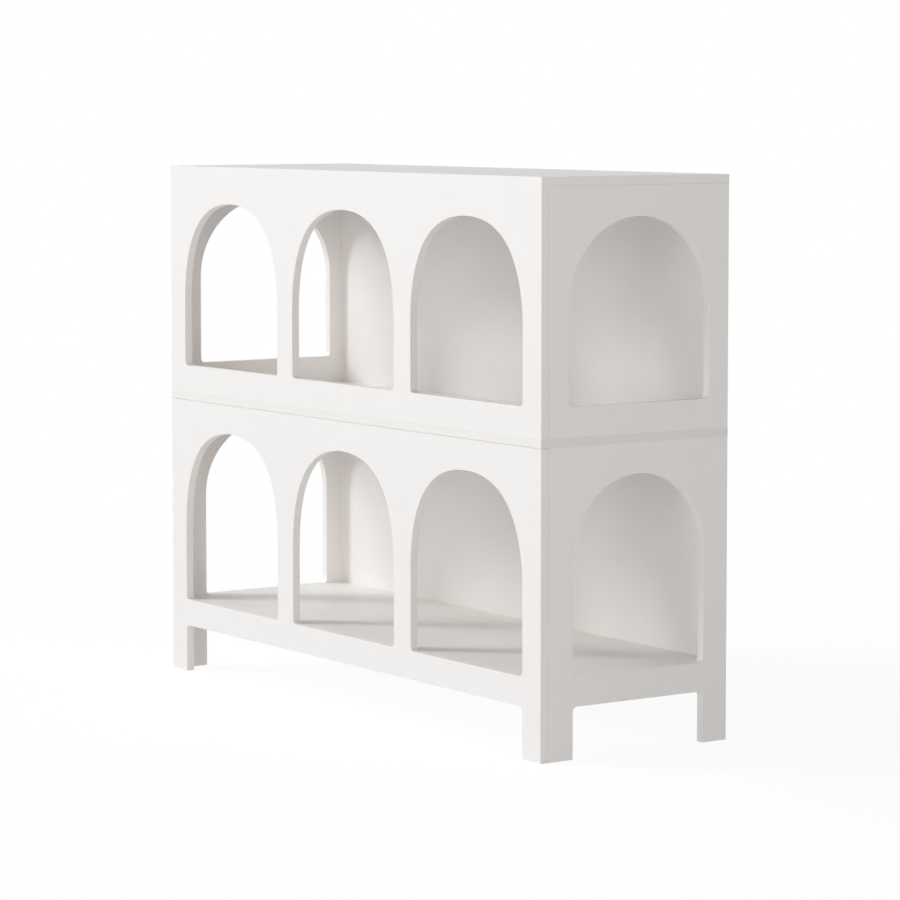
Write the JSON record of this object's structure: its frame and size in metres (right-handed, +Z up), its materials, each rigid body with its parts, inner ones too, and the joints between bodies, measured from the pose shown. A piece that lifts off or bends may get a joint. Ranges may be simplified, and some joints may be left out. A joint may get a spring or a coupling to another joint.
{
  "type": "stacking arcade bookcase",
  "caption": "Stacking bookcase of white lacquered board: an upper carcass on a legged lower one, with arched openings along the front and in both sides, and a solid back.",
  "frame": {"origin": "on the floor, under the middle of the bookcase", "axes": "+X to the right seen from the front, +Y towards the back, +Z up"},
  "size_m": [1.2, 0.392, 0.965],
  "materials": {
    "white_lacquer": "medium-density fibreboard under satin white lacquer",
    "plywood_tongue": "raw birch plywood",
    "beech_dowel": "raw fluted beech"
  },
  "bodies": {
    "lower_carcass": {"lower_front_arcade": "white_lacquer", "lower_left_side": "white_lacquer", "lower_right_side": "white_lacquer", "lower_back_panel": "white_lacquer", "lower_shelf": "white_lacquer", "lower_front_corner_tongues": "plywood_tongue", "lower_back_corner_tongues": "plywood_tongue", "lower_shelf_long_tongues": "plywood_tongue", "lower_shelf_end_tongues": "plywood_tongue", "lower_stacking_dowels": "beech_dowel"},
    "upper_carcass": {"upper_top_board": "white_lacquer", "upper_base_board": "white_lacquer", "upper_front_arcade": "white_lacquer", "upper_left_side": "white_lacquer", "upper_right_side": "white_lacquer", "upper_back_panel": "white_lacquer", "upper_front_tongues": "plywood_tongue", "upper_back_tongues": "plywood_tongue", "upper_side_tongues": "plywood_tongue", "upper_front_corner_tongues": "plywood_tongue", "upper_back_corner_tongues": "plywood_tongue"}
  },
  "joints": [
    {"name": "upper_carcass_lift", "type": "slide", "parent": "lower_carcass", "child": "upper_carcass", "axis": [0, 0, 1], "range_m": [0, 0.06]}
  ]
}
